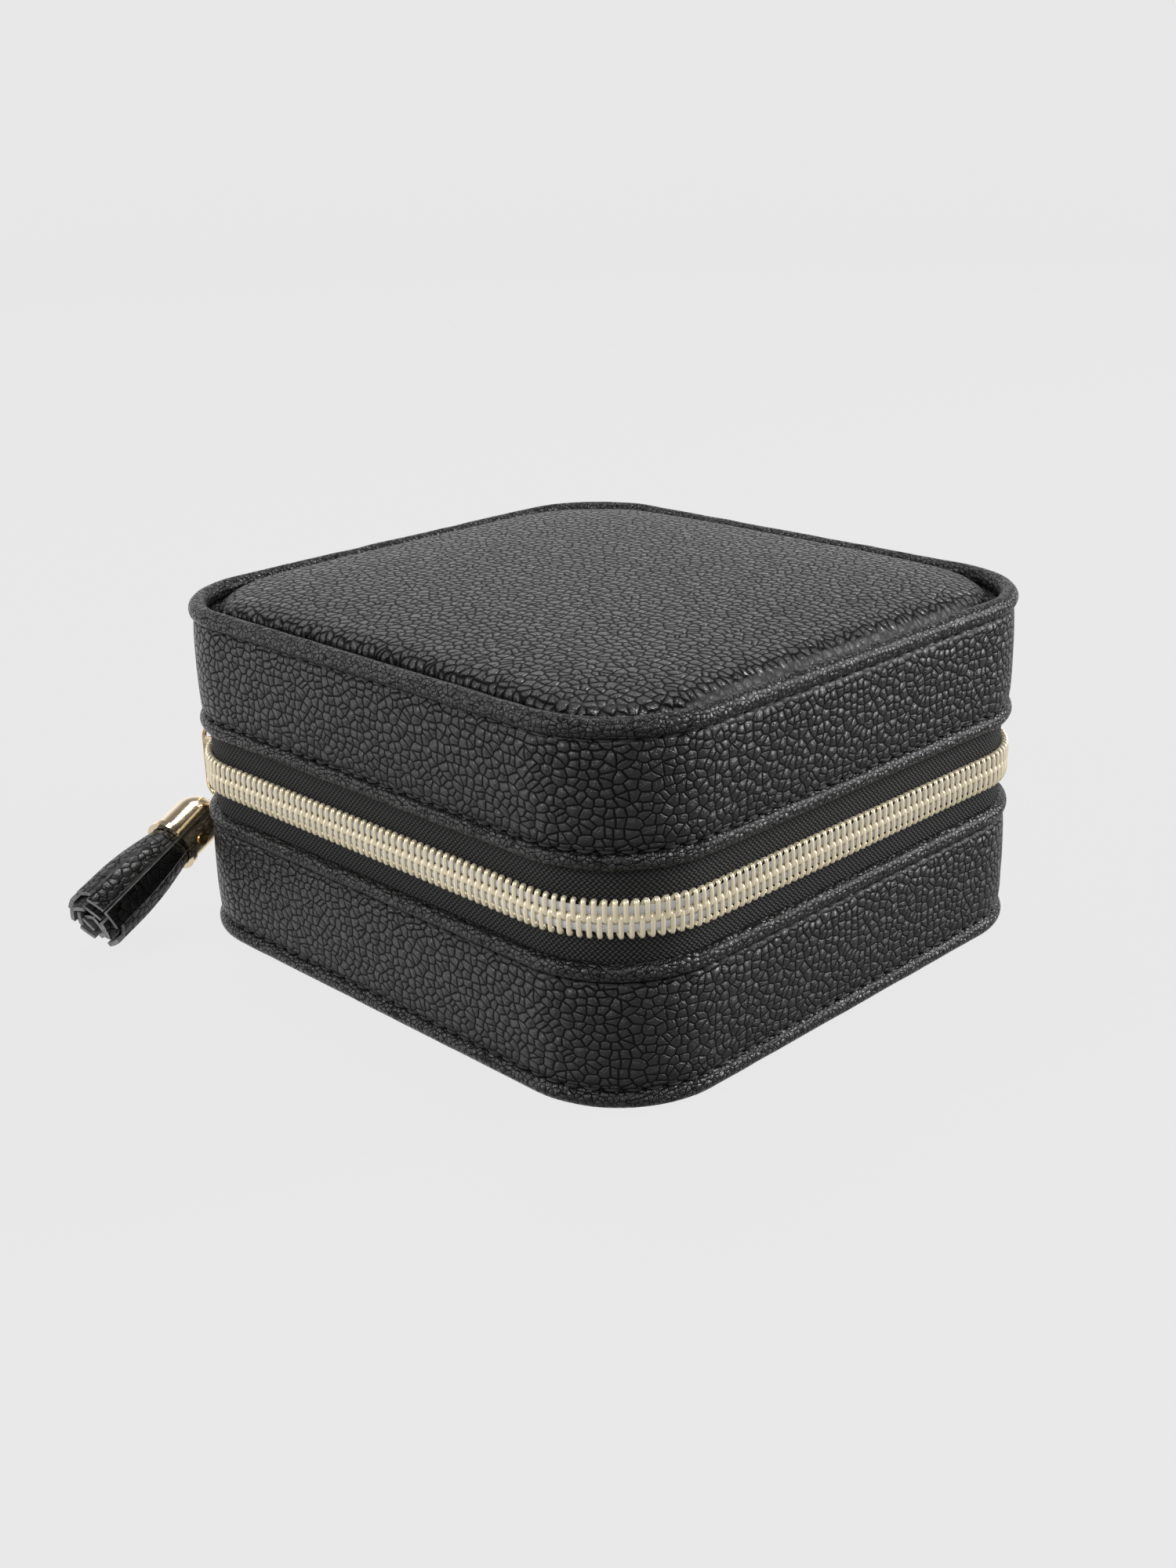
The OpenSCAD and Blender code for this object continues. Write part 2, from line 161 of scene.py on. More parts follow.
def make_piece(name, verts, faces, materials, uvs=None, slots=None, body=None,
               sharp=SHARP):
    """A mesh object in the shared frame, smooth shaded, riding on a body if one is named."""
    mesh = bpy.data.meshes.new(name)
    mesh.from_pydata((np.asarray(verts) * MM).tolist(), [], [tuple(int(i) for i in f) for f in faces])
    if uvs is not None:
        layer = mesh.uv_layers.new(name="millimetres")
        layer.data.foreach_set("uv", [value for face in uvs for pair in face for value in pair])
    for material in materials if isinstance(materials, (list, tuple)) else [materials]:
        mesh.materials.append(material)
    if slots is not None:
        mesh.polygons.foreach_set("material_index", slots)
    tidy = bmesh.new()
    tidy.from_mesh(mesh)
    bmesh.ops.recalc_face_normals(tidy, faces=tidy.faces)
    tidy.to_mesh(mesh)
    tidy.free()
    obj = bpy.data.objects.new(name, mesh)
    bpy.context.scene.collection.objects.link(obj)
    smooth(obj, sharp)
    return settle(obj, body)


def smooth(obj, sharp):
    obj.data.shade_smooth()
    obj.data.set_sharp_from_angle(angle=math.radians(sharp))


def settle(obj, body):
    """Lets a piece ride on the body that is named, if one is."""
    if body:
        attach(obj, body)
    return obj


def grid_cells(rows, cols, wrap_rows=False, wrap_cols=False):
    """Row and column of each quad in a grid of rows by cols points."""
    return [(i, j) for i in range(rows if wrap_rows else rows - 1)
            for j in range(cols if wrap_cols else cols - 1)]


def grid_faces(rows, cols, wrap_rows=False, wrap_cols=False):
    """Quads of a grid of rows by cols points."""
    faces = []
    for i, j in grid_cells(rows, cols, wrap_rows, wrap_cols):
        below, right = (i + 1) % rows, (j + 1) % cols
        faces.append((i * cols + j, i * cols + right, below * cols + right, below * cols + j))
    return faces


def end_faces(rows, cols, flip=False):
    """The two faces that close a grid whose columns wrap."""
    last = tuple(range((rows - 1) * cols, rows * cols))
    return [tuple(range(cols)), last[::-1] if flip else last]


def running_length(points):
    """Distance along a line of points, at each of them."""
    steps = np.linalg.norm(np.diff(points, axis=0), axis=1)
    return np.concatenate(([0.0], np.cumsum(steps)))


def signed_power(wave, power):
    """Squares off a wave's shoulders and keeps its sign."""
    return np.sign(wave) * np.abs(wave) ** power


def strand(path, side, half_side, half_out, sides=6):
    """A closed tube along a path, wider towards side by half_side and across it by half_out."""
    path = np.asarray(path, float)
    tangent = np.gradient(path, axis=0)
    tangent /= np.linalg.norm(tangent, axis=1)[:, None]
    side = side - (side * tangent).sum(1)[:, None] * tangent
    side /= np.linalg.norm(side, axis=1)[:, None]
    other = np.cross(tangent, side)
    turn = np.arange(sides) * 2 * math.pi / sides
    half_side = np.broadcast_to(half_side, len(path))[:, None, None]
    half_out = np.broadcast_to(half_out, len(path))[:, None, None]
    ring = side[:, None] * np.cos(turn)[None, :, None] * half_side
    ring = ring + other[:, None] * np.sin(turn)[None, :, None] * half_out
    verts = (path[:, None] + ring).reshape(-1, 3)
    faces = grid_faces(len(path), sides, wrap_cols=True) + end_faces(len(path), sides, flip=True)
    return verts, faces


def stations(start, end, step):
    """Places along the outline; with no end they go all the way round."""
    if end is None:
        count = math.ceil(ROUND / step)
        return start + np.arange(count) * ROUND / count
    return np.linspace(start, end, math.ceil((end - start) / step) + 1)


def sweep(profile, start=0.0, end=None, waver=0.0, seed=0.0):
    """Carries a closed profile of (offset outwards, z) round the outline, as a Heap."""
    s = stations(start, end, OUTLINE_STEP)
    place, normal = track(s)
    profile = np.asarray(profile, float)
    offset = np.tile(profile[:, 0], (len(s), 1))
    height = np.tile(profile[:, 1], (len(s), 1))
    if waver:
        offset = offset + waver * uneven(place, height, seed)
        height = height + waver * uneven(place, height, seed + NOISE_APART)
    verts = np.empty((len(s), len(profile), 3))
    verts[:, :, :2] = place[:, None] + normal[:, None] * offset[:, :, None]
    verts[:, :, 2] = height
    lengths = running_length(np.vstack((profile, profile[:1])))
    cells = grid_cells(len(s), len(profile), wrap_rows=end is None, wrap_cols=True)
    faces = grid_faces(len(s), len(profile), wrap_rows=end is None, wrap_cols=True)
    spread = np.append(s, start + ROUND)
    uvs = [[(spread[i], lengths[j]), (spread[i], lengths[j + 1]),
            (spread[i + 1], lengths[j + 1]), (spread[i + 1], lengths[j])] for i, j in cells]
    if end is not None:
        faces += end_faces(len(s), len(profile), flip=True)
        uvs += [[(0.0, 0.0)] * len(profile)] * 2
    heap = Heap()
    heap.add(verts.reshape(-1, 3), faces, uvs)
    return heap


# Waves of the slow noise per millimetre round the case and upwards, and the step between two of them.
NOISE_ROUND = 0.22
NOISE_UP = 0.3
NOISE_APART = 31.7


def uneven(place, height, seed):
    """Slow noise over the surface, about -1 to 1, for hand-made unevenness."""
    out = np.empty(height.shape)
    for i, (x, y) in enumerate(place):
        for j, z in enumerate(height[i]):
            out[i, j] = noise.noise(Vector((x * NOISE_ROUND + seed, y * NOISE_ROUND, z * NOISE_UP)))
    return out


def arc(centre, radius, start, end, count):
    """Points of an arc in a profile; angles in degrees from outwards, up."""
    turn = np.radians(np.linspace(start, end, count))
    return [(centre[0] + radius * math.cos(a), centre[1] + radius * math.sin(a)) for a in turn]


# ---------------------------------------------------------------- materials


# Noise seldom leaves this range, which ramps spread over their own.
NOISE_LOW = 0.3
NOISE_HIGH = 0.7


class Recipe:
    """A node material with helpers that add nodes in one line each."""

    def __init__(self, name, **finish):
        self.material = bpy.data.materials.new(name)
        self.material.use_nodes = True
        self.tree = self.material.node_tree
        self.shader = self.tree.nodes["Principled BSDF"]
        for socket, value in finish.items():
            self.shader.inputs[socket.replace("_", " ")].default_value = value

    def node(self, kind, inputs=None, **settings):
        made = self.tree.nodes.new("ShaderNode" + kind)
        for setting, value in settings.items():
            setattr(made, setting, value)
        for socket, value in (inputs or {}).items():
            if hasattr(value, "is_output"):
                self.tree.links.new(value, made.inputs[socket])
            else:
                made.inputs[socket].default_value = value
        return made

    def millimetres(self, stretch=(1.0, 1.0, 1.0)):
        """Object coordinates in millimetres, squeezed by stretch."""
        place = self.node("TexCoord").outputs["Object"]
        scale = tuple(1 / (MM * part) for part in stretch)
        return self.node("VectorMath", {0: place, 1: scale}, operation="MULTIPLY").outputs[0]

    def strip(self, stretch=(1.0, 1.0, 1.0)):
        """A swept strip's own coordinates in millimetres, along it and across it."""
        along = self.node("UVMap", uv_map="millimetres").outputs["UV"]
        scale = tuple(1 / part for part in stretch)
        return self.node("VectorMath", {0: along, 1: scale}, operation="MULTIPLY").outputs[0]

    def warped(self, place, amount, scale):
        """Coordinates pushed about by noise."""
        shift = self.node("TexNoise", {"Vector": place, "Scale": scale, "Detail": 2.0}).outputs["Color"]
        middle = self.node("VectorMath", {0: shift, 1: (0.5,) * 3}, operation="SUBTRACT").outputs[0]
        push = self.node("VectorMath", {0: middle, "Scale": amount}, operation="SCALE").outputs[0]
        return self.node("VectorMath", {0: place, 1: push}, operation="ADD").outputs[0]

    def ramp(self, value, low, high, out_low=0.0, out_high=1.0, kind="SMOOTHSTEP"):
        made = self.node("MapRange", {"Value": value, "From Min": low, "From Max": high,
                                      "To Min": out_low, "To Max": out_high},
                         interpolation_type=kind)
        return made.outputs["Result"]

    def blend(self, mask, first, second):
        made = self.node("Mix", {"Factor": mask, "A": first, "B": second}, data_type="RGBA")
        return made.outputs["Result"]

    def maths(self, operation, first, second=0.0, third=0.0):
        return self.node("Math", {0: first, 1: second, 2: third}, operation=operation).outputs[0]

    def mixed(self, *parts):
        """The sum of (value, weight) pairs."""
        value, weight = parts[0]
        total = self.maths("MULTIPLY", value, weight)
        for value, weight in parts[1:]:
            total = self.maths("MULTIPLY_ADD", value, weight, total)
        return total

    def noise(self, place, scale, detail=2.0):
        made = self.node("TexNoise", {"Vector": place, "Scale": scale, "Detail": detail})
        return made.outputs["Fac"]

    def cells(self, place, scale, feature="DISTANCE_TO_EDGE", dimensions="3D"):
        made = self.node("TexVoronoi", {"Vector": place, "Scale": scale, "Randomness": 0.85},
                         feature=feature, voronoi_dimensions=dimensions)
        return made.outputs["Distance"]

    def use(self, socket, value):
        self.tree.links.new(value, self.shader.inputs[socket])

    def use_grey(self, value):
        """A neutral base colour of the given tone."""
        made = self.node("CombineColor", {0: value, 1: value, 2: value})
        self.use("Base Color", made.outputs[0])

    def bump(self, height, depth_mm):
        made = self.node("Bump", {"Height": height, "Distance": depth_mm * MM, "Strength": 1.0})
        self.use("Normal", made.outputs["Normal"])


def grey(value, tint=0.0):
    return (value + tint, value, value - tint, 1.0)


def leather(name, layout="SOLID", cell=1.3, depth=0.48, base=0.010, crease_shade=0.002, gloss=0.36,
            shine=0.62, groove=0.11, stretch=(1.0, 1.0, 1.0)):
    """Pebbled leather: domed cells between creases darkened with painted shade, finer wrinkles on them,
    tiny pores.

    The grain is laid out along a STRIP, in PLAN, or through the SOLID. A cell's size and a bump's
    depth are in millimetres; base is a tone, the creases take a darker tone as painted shade, and the
    groove is a share of a cell.
    """
    crease_rough = 0.3
    # The creases also reflect less: painted shade, not a property of the leather.
    crease_shade_shine = 0.04
    recipe = Recipe(name, Roughness=0.5, Coat_Weight=0.10, Coat_Roughness=0.25)
    place = recipe.strip(stretch) if layout == "STRIP" else recipe.millimetres(stretch)
    dimensions = "3D" if layout == "SOLID" else "2D"
    bent = recipe.warped(place, 0.45 * cell, 0.5 / cell)
    edge = recipe.cells(bent, 1 / cell, "DISTANCE_TO_EDGE", dimensions)
    pebble = recipe.ramp(edge, 0.0, groove)
    dome = recipe.ramp(recipe.cells(bent, 1 / cell, "F1", dimensions), 0.0, 0.8, 1.0, 0.0)
    fine_edge = recipe.cells(bent, 2.4 / cell, "DISTANCE_TO_EDGE", dimensions)
    wrinkle = recipe.ramp(fine_edge, 0.0, 0.14)
    pores = recipe.noise(place, 6.0 / cell, 3.0)
    recipe.bump(recipe.mixed((dome, 0.62), (pebble, 0.34), (wrinkle, 0.07), (pores, 0.08)), depth)
    cloudy = recipe.noise(place, 0.07, 3.0)
    tone = recipe.ramp(cloudy, NOISE_LOW, NOISE_HIGH, base * 0.85, base * 1.2)
    top = recipe.node("CombineColor", {0: tone, 1: tone, 2: tone}).outputs[0]
    # Painted shade: the creases get a darker base colour than the pebble tops.
    recipe.use("Base Color", recipe.blend(pebble, grey(crease_shade), top))
    worn = recipe.ramp(recipe.noise(place, 0.5), NOISE_LOW, NOISE_HIGH, -0.05, 0.06, "LINEAR")
    polish = recipe.ramp(pebble, 0.0, 1.0, gloss + crease_rough, gloss, "LINEAR")
    recipe.use("Roughness", recipe.maths("ADD", polish, worn))
    # Painted shade: weaker reflection in the creases stands in for the shade that falls there.
    recipe.use("Specular IOR Level", recipe.ramp(pebble, 0.0, 1.0, crease_shade_shine, shine, "LINEAR"))
    return recipe.material


def suede(name, base):
    """Flesh side of leather: grey nap with soft mottling."""
    recipe = Recipe(name, Roughness=0.95, Sheen_Weight=0.25, Sheen_Roughness=0.5)
    place = recipe.millimetres()
    fibres = recipe.noise(place, 5.0, 5.0)
    cloudy = recipe.noise(place, 1.2, 3.0)
    recipe.use_grey(recipe.ramp(cloudy, NOISE_LOW, NOISE_HIGH, base * 0.55, base * 1.2))
    recipe.bump(fibres, 0.12)
    return recipe.material


def velvet(name, base):
    """Short pile: brushed patches, a sheen and a fine fibre grain."""
    recipe = Recipe(name, Roughness=0.9, Sheen_Weight=0.6, Sheen_Roughness=0.35)
    recipe.shader.inputs["Sheen Tint"].default_value = (0.75, 0.74, 0.76, 1.0)
    place = recipe.millimetres()
    brushed = recipe.noise(recipe.warped(place, 6.0, 0.08), 0.09)
    recipe.use_grey(recipe.ramp(brushed, 0.35, 0.65, base * 0.8, base * 1.25))
    recipe.bump(recipe.noise(place, 6.0, 4.0), 0.10)
    return recipe.material


def metal(name, colour, rough, scratch=0.004, metallic=1.0):
    """Polished plating with faint smudges and fine scratches."""
    recipe = Recipe(name, Metallic=metallic, Base_Color=(*colour, 1.0))
    place = recipe.millimetres()
    smudge = recipe.ramp(recipe.noise(place, 0.35, 3.0), 0.3, 0.75, rough * 0.75, rough * 1.6)
    recipe.use("Roughness", smudge)
    fine = recipe.noise(recipe.millimetres((1.0, 1.0, 0.15)), 3.0, 4.0)
    recipe.bump(fine, scratch)
    return recipe.material


def woven_tape(name, pitch):
    """Zip tape: ribs along and across it, from the strip's own coordinates in millimetres."""
    recipe = Recipe(name, Roughness=0.7, Specular_IOR_Level=0.3)
    along = recipe.node("UVMap", uv_map="millimetres").outputs["UV"]
    apart = recipe.node("SeparateXYZ", {0: along})
    full = 2 * math.pi / pitch
    run = recipe.maths("MULTIPLY", apart.outputs[0], full)
    rise = recipe.maths("MULTIPLY", apart.outputs[1], full)
    slant = recipe.maths("MULTIPLY_ADD", recipe.maths("SINE", rise), 0.9, run)
    ribs = recipe.maths("MULTIPLY", recipe.maths("SINE", slant), recipe.maths("COSINE", rise))
    height = recipe.ramp(ribs, -0.6, 0.8)
    # Painted shade and highlight: the colour is darkest in the hollows between the ribs and lightest on
    # their crests.
    recipe.use("Base Color", recipe.blend(height, grey(0.001), grey(0.07)))
    recipe.bump(height, 0.34)
    return recipe.material


def thread(name, base):
    """Twisted sewing thread."""
    recipe = Recipe(name, Roughness=0.55, Sheen_Weight=0.2)
    place = recipe.millimetres()
    twist = recipe.noise(place, 8.0)
    recipe.use("Base Color", recipe.blend(twist, grey(base * 0.6), grey(base * 1.3)))
    recipe.bump(twist, 0.05)
    return recipe.material


def board_stock(name, colour):
    """Grey board: pressed fibre with flecks."""
    recipe = Recipe(name, Roughness=0.85)
    place = recipe.millimetres()
    flecks = recipe.ramp(recipe.noise(place, 1.6, 5.0), NOISE_LOW, NOISE_HIGH)
    dark = (*(part * 0.75 for part in colour), 1.0)
    recipe.use("Base Color", recipe.blend(flecks, dark, (*colour, 1.0)))
    recipe.bump(recipe.noise(place, 4.0, 4.0), 0.06)
    return recipe.material


def glass_mirror(name):
    """Silvered glass with the faintest waviness."""
    recipe = Recipe(name, Metallic=1.0, Base_Color=grey(0.9))
    place = recipe.millimetres()
    recipe.use("Roughness", recipe.ramp(recipe.noise(place, 0.12, 3.0), 0.35, 0.8, 0.015, 0.05))
    recipe.bump(recipe.noise(place, 0.05, 1.0), 0.004)
    return recipe.material


LEATHER = leather("pebbled_leather", "STRIP", cell=1.45, groove=0.16, stretch=(1.1, 0.9, 1.0))
LEATHER_TOP = leather("pebbled_leather_top", "PLAN", cell=1.5, depth=1.0, gloss=0.30, shine=1.0,
                      groove=0.27)
LEATHER_EDGE = leather("rolled_leather", cell=0.95, depth=0.32, gloss=0.28, stretch=(1.0, 1.0, 0.85))
LEATHER_FRINGE = leather("fringe_leather", cell=1.5, depth=0.15, base=0.006, gloss=0.32)
SUEDE = suede("suede_back", 0.10)
CUT_EDGE = suede("cut_edge", 0.26)
VELVET = velvet("velvet_lining", 0.10)
GOLD = metal("pale_gold_plating", (1.0, 0.82, 0.58), rough=0.11)
COIL = metal("metallised_coil", (1.0, 0.89, 0.66), rough=0.25, scratch=0.01, metallic=0.35)
CORD = thread("stuffer_cord", 0.72)
BRASS = metal("screw_brass", (0.85, 0.60, 0.24), rough=0.2)
TAPE = woven_tape("zip_tape_weave", 0.85)
THREAD = thread("black_thread", 0.012)
BOARD = board_stock("grey_board", (0.42, 0.38, 0.32))
MIRROR = glass_mirror("silvered_glass")

# ---------------------------------------------------------------- camera


def make_camera():
    """A camera at three-quarter view, a little above the lid, with the front corner towards it."""
    azimuth = math.radians(-44.86)
    elevation = math.radians(19.96)
    roll = math.radians(-1.33)
    target = np.array((0.0, 0.0, 28.0))
    distance = 301.46
    data = bpy.data.cameras.new("camera")
    data.sensor_width = 36.0
    data.lens = 42.14
    data.shift_x = -0.0105
    data.shift_y = -0.0185
    data.clip_start = 0.01
    data.clip_end = 20.0
    camera = bpy.data.objects.new("camera", data)
    right = np.array((math.cos(azimuth), math.sin(azimuth), 0.0))
    back = np.array((math.sin(azimuth) * math.cos(elevation),
                     -math.cos(azimuth) * math.cos(elevation), math.sin(elevation)))
    rise = np.cross(back, right)
    level = right * math.cos(roll) + rise * math.sin(roll)
    rise = rise * math.cos(roll) - right * math.sin(roll)
    place = (target + back * distance) * MM
    camera.matrix_world = Matrix((
        (level[0], rise[0], back[0], place[0]),
        (level[1], rise[1], back[1], place[1]),
        (level[2], rise[2], back[2], place[2]),
        (0.0, 0.0, 0.0, 1.0)))
    bpy.context.scene.collection.objects.link(camera)
    bpy.context.scene.camera = camera


# ---------------------------------------------------------------- stage and light


def stage_material(name, glow, albedo):
    """Even pale grey: some light of its own, so that the floor stays level, and some shadow."""
    recipe = Recipe(name, Roughness=0.9, Specular_IOR_Level=0.0)
    recipe.shader.inputs["Base Color"].default_value = grey(albedo)
    recipe.shader.inputs["Emission Color"].default_value = grey(1.0)
    recipe.shader.inputs["Emission Strength"].default_value = glow
    return recipe.material


def make_stage():
    """A floor that curves up into a wall all round, open above, that the object doesn't mirror."""
    flat, fillet, tall = 1300.0, 250.0, 900.0
    sides = 96
    bowl = [(0.01, 0.0), (200.0, 0.0), (600.0, 0.0), (flat, 0.0)]
    bowl += [(flat + fillet * math.sin(a), fillet * (1 - math.cos(a)))
             for a in np.linspace(0.1, math.pi / 2, 12)]
    bowl += [(flat + fillet, tall)]
    turn = np.arange(sides) * 2 * math.pi / sides
    verts = [(r * math.cos(a), r * math.sin(a), z) for r, z in bowl for a in turn]
    heap = Heap()
    heap.add(verts, grid_faces(len(bowl), sides, wrap_cols=True) + [tuple(range(sides))])
    floor = heap.piece("studio_floor", stage_material("studio_grey", 0.785, 0.025))
    floor.visible_glossy = False
    floor.visible_diffuse = False


def soft_light(name, place, size, power):
    """A soft box aimed at the middle of the case, with its place and size in metres."""
    target = Vector((0.0, 0.0, 0.03))
    data = bpy.data.lights.new(name, "AREA")
    data.shape = "RECTANGLE"
    data.size, data.size_y = size
    data.energy = power
    lamp = bpy.data.objects.new(name, data)
    lamp.location = place
    lamp.rotation_mode = "QUATERNION"
    lamp.rotation_quaternion = (target - Vector(place)).to_track_quat("-Z", "Y")
    bpy.context.scene.collection.objects.link(lamp)


def make_light():
    """Soft light, brighter low down behind the object and dim in front of it and overhead."""
    world = bpy.data.worlds.new("studio")
    world.use_nodes = True
    tree = world.node_tree
    direction = tree.nodes.new("ShaderNodeTexCoord").outputs["Generated"]
    # Each lobe: its aim, the dot products it runs between, and its strength at each of them.
    lobes = (((0.30, 0.95, 0.0), 0.0, 1.0, 0.34, 1.0), ((0.0, 0.0, 1.0), 0.10, 0.65, 1.0, 0.25))
    sockets = ("From Min", "From Max", "To Min", "To Max")
    strength = None
    for aim, *limits in lobes:
        dot = tree.nodes.new("ShaderNodeVectorMath")
        dot.operation = "DOT_PRODUCT"
        dot.inputs[1].default_value = aim
        tree.links.new(direction, dot.inputs[0])
        ramp = tree.nodes.new("ShaderNodeMapRange")
        ramp.interpolation_type = "SMOOTHSTEP"
        for socket, value in zip(sockets, limits):
            ramp.inputs[socket].default_value = value
        tree.links.new(dot.outputs["Value"], ramp.inputs["Value"])
        if strength is None:
            strength = ramp.outputs["Result"]
            continue
        product = tree.nodes.new("ShaderNodeMath")
        product.operation = "MULTIPLY"
        tree.links.new(strength, product.inputs[0])
        tree.links.new(ramp.outputs["Result"], product.inputs[1])
        strength = product.outputs[0]
    tree.links.new(strength, tree.nodes["Background"].inputs["Strength"])
    tree.nodes["Background"].inputs["Color"].default_value = grey(1.0)
    bpy.context.scene.world = world
    bpy.context.scene.view_settings.view_transform = "Standard"
    soft_light("left_box", (-1.1, 0.55, 0.55), (0.5, 0.7), 7.0)
    soft_light("right_box", (0.95, -0.65, 0.5), (0.4, 0.8), 15.0)
    soft_light("key_box", (-0.75, -0.75, 0.95), (0.5, 0.5), 6.0)
    soft_light("top_box", (0.25, 0.45, 1.2), (0.4, 0.4), 5.0)


# ---------------------------------------------------------------- leather bands, beads and stitches


WALL_BACK = -0.98
BEAD_MIDDLE = -1.0


def band_profile(low, high):
    """A wall of leather that dips into the groove at each end and is fullest in the middle."""
    turn_in = ((-0.62, 0.05), (-0.28, 0.35), (-0.06, 0.95))
    inset = turn_in[-1][1]
    fullness = 0.16
    face = [(offset, low + rise) for offset, rise in turn_in]
    face += [(fullness * math.sin(math.pi * part), low + inset + part * (high - low - 2 * inset))
             for part in (0.12, 0.3, 0.5, 0.7, 0.88)]
    face += [(offset, high - rise) for offset, rise in turn_in[::-1]]
    return face + [(WALL_BACK, high), (WALL_BACK, low)]


def make_band(name, node, body):
    low, high = box_mm(node)
    heap = sweep(band_profile(low.z, high.z), waver=0.07, seed=low.z)
    band = heap.piece(name, LEATHER, body, "leather")
    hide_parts(node)


def bead_profile(low, high):
    """A rolled leather bead, fuller outwards than the leather beside it."""
    fullness = 1.42
    middle = (low + high) / 2
    rise = (high - low) / 2
    back = (BEAD_MIDDLE - 0.02, middle)
    return [(BEAD_MIDDLE + fullness * math.cos(a), middle + rise * math.sin(a))
            for a in np.radians(np.linspace(-90, 90, 15))] + [back]


def make_bead(name, node, body):
    low, high = box_mm(node)
    heap = sweep(bead_profile(low.z, high.z), waver=0.06, seed=high.z)
    bead = heap.piece(name, LEATHER_EDGE, body, "leather")
    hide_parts(node)


def make_rim(name, node, body):
    """The full round bead that stands up round the padded top."""
    radius = 1.5
    centre = (BEAD_MIDDLE, box_mm(node)[1].z - radius)
    profile = arc(centre, radius, -60, 240, 26)
    heap = sweep(profile, waver=0.08, seed=7.0)
    rim = heap.piece(name, LEATHER_EDGE, body, "leather")
    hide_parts(node)


def make_gutter():
    """The leather that shows in the groove between the rim and the padded top."""
    floor_z = box_mm("lid_top_board")[1].z
    low, high = floor_z + 0.12, floor_z + 0.35
    rim_side, foot, pad_side = -1.6, -2.2, -7.0
    profile = [(rim_side, floor_z), (rim_side, high), (foot, low), (pad_side, low), (pad_side, floor_z)]
    sweep(profile).piece("lid_gutter", LEATHER_EDGE, "lid", "leather")


# A stitch is a short capsule whose ends dip into the leather.
STITCH_PITCH = 3.0
STITCH_LENGTH = 2.2
STITCH_RADIUS = 0.2
STITCH_SINK = 0.22
STITCH_RISE = 0.24
SEAM_OFFSET = -0.30
STITCH_PART = np.linspace(0.0, 1.0, 7)
STITCH_BOW = np.sin(math.pi * STITCH_PART)
STITCH_GIRTH = STITCH_RADIUS * (0.35 + 0.65 * STITCH_BOW ** 0.5)
STITCH_HEIGHT = STITCH_RISE * STITCH_BOW - STITCH_SINK


def stitch_run(spot):
    """Where a stitch's points lie along its seam."""
    return spot + (STITCH_PITCH - STITCH_LENGTH) / 2 + STITCH_PART * STITCH_LENGTH


def add_stitch(heap, path, side):
    heap.add(*strand(path, np.tile(side, (len(path), 1)), STITCH_GIRTH, STITCH_GIRTH))


def make_stitches(name, level, body):
    """A row of stitches round the case."""
    heap = Heap()
    for spot in stations(0.0, None, STITCH_PITCH):
        place, normal = track(stitch_run(spot))
        face = place + normal * (SEAM_OFFSET + STITCH_HEIGHT)[:, None]
        add_stitch(heap, np.column_stack((face, np.full(len(face), level))), UP)
    heap.piece(name, THREAD, body, "leather")


def stitch_line(heap, points, outward):
    """Stitches along a line of points on a flat face."""
    points = np.asarray(points, float)
    outward = np.asarray(outward, float)
    run = running_length(points)
    for spot in np.arange(0.0, run[-1] - STITCH_PITCH, STITCH_PITCH):
        at = stitch_run(spot)
        path = np.column_stack([np.interp(at, run, points[:, k]) for k in range(3)])
        add_stitch(heap, path + outward * STITCH_HEIGHT[:, None], outward)


# ---------------------------------------------------------------- zip

COIL_PITCH = 1.42
COIL_GAP = 0.6
COIL_START = STRIP_HALF + COIL_GAP
COIL_END = ROUND - STRIP_HALF - COIL_GAP
TAPE_TUCK = 2.0  # how far the tape's ends run under the hinge strip
TAPE_START = STRIP_HALF - TAPE_TUCK
TAPE_END = ROUND - STRIP_HALF + TAPE_TUCK
# The upper tape and coil are each made in two pieces, which meet a whole number of coil turns from the
# start, at about this distance past the middle of the slider.
PAST_SLIDER = 5.0
SHUT_TURNS = round((SLIDER_S + PAST_SLIDER - COIL_START) / COIL_PITCH)
SHUT_S = COIL_START + SHUT_TURNS * COIL_PITCH


def coil_path(start, end, side, phase):
    """Half of the zip's coil: bars across it, joined by loops at the edge and heads in the middle."""
    per_turn = 16
    middle, reach = 1.12, 1.55
    lift, rise = 0.58, 0.46
    half_width, head_extra = 0.36, 0.08
    count = int((end - start) / COIL_PITCH) * per_turn
    step = np.arange(count) / per_turn
    angle = 2 * math.pi * (step % 1.0)
    # The front bar holds its place along the zip and the back bar carries the coil on.
    lag = np.clip((step % 1.0 - 0.5) / 0.5, 0.0, 1.0)
    s = start + phase * COIL_PITCH + (np.floor(step) + lag * lag * (3 - 2 * lag)) * COIL_PITCH
    across = middle + reach * signed_power(np.cos(angle), 0.75)
    out = lift + rise * signed_power(np.sin(angle), 0.62)
    head = np.clip(-np.cos(angle), 0.0, 1.0) ** 3
    place, normal = track(s)
    path = np.column_stack((place + normal * (out - TAPE_DEPTH)[:, None], MID_Z + side * across))
    along = np.column_stack((-normal[:, 1], normal[:, 0], np.zeros(count)))
    return path, along, half_width + head_extra * head


def make_coil(name, side, phase, start, end, body, node):
    """One half of the coil from start to end, wound round its cord."""
    half_out = 0.24
    cord_lift, cord_side = 0.62, 1.25
    cord_half, cord_half_out = 0.62, 0.2
    path, along, width = coil_path(start, end, side, phase)
    heap = Heap()
    heap.add(*strand(path, along, width, half_out))
    place, normal = track(stations(start, end, 1.0))
    cord = np.column_stack((place + normal * (cord_lift - TAPE_DEPTH),
                            np.full(len(place), MID_Z + side * cord_side)))
    heap.add(*strand(cord, np.tile(UP, (len(cord), 1)), cord_half, cord_half_out, sides=8), slot=1)
    coil = heap.piece(name, [COIL, CORD], body, "zip_coil", sharp=70)
    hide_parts(node)


